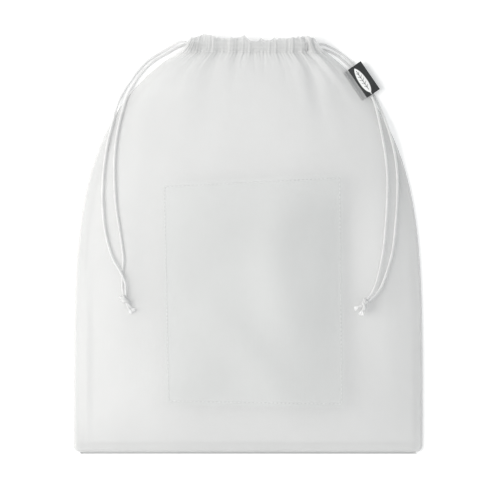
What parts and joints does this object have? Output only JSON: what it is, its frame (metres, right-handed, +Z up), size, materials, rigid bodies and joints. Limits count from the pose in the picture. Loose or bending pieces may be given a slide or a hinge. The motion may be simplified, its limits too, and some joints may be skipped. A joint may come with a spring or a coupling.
{
  "type": "mesh produce bag",
  "caption": "Flat sheer mesh drawstring bag with a gathered mouth, knotted cord tails on both sides, a folded side label and a sewn-in plain print patch.",
  "frame": {"origin": "on the surface the bag lies on, under the middle of the bag without its cord tails", "axes": "+X to the label side, +Y from the bottom seam to the mouth, +Z up through the front panel"},
  "size_m": [0.3, 0.358, 0.0188],
  "materials": {
    "mesh_cloth": "fine white polyester mesh, sheer, soft sheen",
    "seam_cloth": "the same mesh turned in double at the seams",
    "thread": "white sewing thread",
    "cord": "white braided polyester cord",
    "patch_cloth": "plain close-woven white cloth",
    "label_black": "woven black satin label tape",
    "label_white": "woven white thread motif"
  },
  "bodies": {
    "bag": {"back_panel": "mesh_cloth", "front_panel": "mesh_cloth", "left_side_seam": "seam_cloth", "right_side_seam": "seam_cloth", "bottom_seam": "seam_cloth", "left_seam_overlock": "thread", "right_seam_overlock": "thread", "bottom_seam_overlock": "thread", "back_casing": "mesh_cloth", "front_casing": "mesh_cloth", "back_casing_stitching": "thread", "front_casing_stitching": "thread", "print_patch": "patch_cloth", "patch_stitching": "thread"},
    "left_mouth_end": {"left_cord_exit": "seam_cloth"},
    "right_mouth_end": {"right_cord_exit": "seam_cloth", "label_tab": "label_black", "label_stitching": "thread"},
    "label": {"label_flap": "label_black", "label_motif": "label_white"},
    "left_cord": {"left_cord_channel_loop": "cord", "left_cord_outer_strand": "cord", "left_cord_inner_strand": "cord", "left_cord_knot": "cord", "left_cord_ends": "cord"},
    "right_cord": {"right_cord_channel_loop": "cord", "right_cord_outer_strand": "cord", "right_cord_inner_strand": "cord", "right_cord_knot": "cord", "right_cord_ends": "cord"}
  },
  "joints": [
    {"name": "left_cord_pull", "type": "slide", "parent": "bag", "child": "left_cord", "axis": [-1, 0, 0], "range_m": [0, 0.02]},
    {"name": "right_mouth_cinch", "type": "slide", "parent": "bag", "child": "right_mouth_end", "axis": [-1, 0, 0], "range_m": [0, 0.02], "deforming": ["front_panel", "back_panel", "front_casing", "back_casing", "right_side_seam", "right_seam_overlock"]},
    {"name": "right_cord_pull", "type": "slide", "parent": "bag", "child": "right_cord", "axis": [1, 0, 0], "range_m": [0, 0.02]},
    {"name": "left_mouth_cinch", "type": "slide", "parent": "bag", "child": "left_mouth_end", "axis": [1, 0, 0], "range_m": [0, 0.02], "deforming": ["left_side_seam", "left_seam_overlock"]},
    {"name": "label_fold", "type": "hinge", "parent": "right_mouth_end", "child": "label", "pos_m": [0.0936, 0.1368, 0.0054], "axis": [0.5664, -0.8241, 0], "range_deg": [0, 120]}
  ],
  "couplings": [
    {"joint": "right_mouth_cinch", "follows": "left_cord_pull", "ratio": 1},
    {"joint": "left_mouth_cinch", "follows": "right_cord_pull", "ratio": 1}
  ]
}
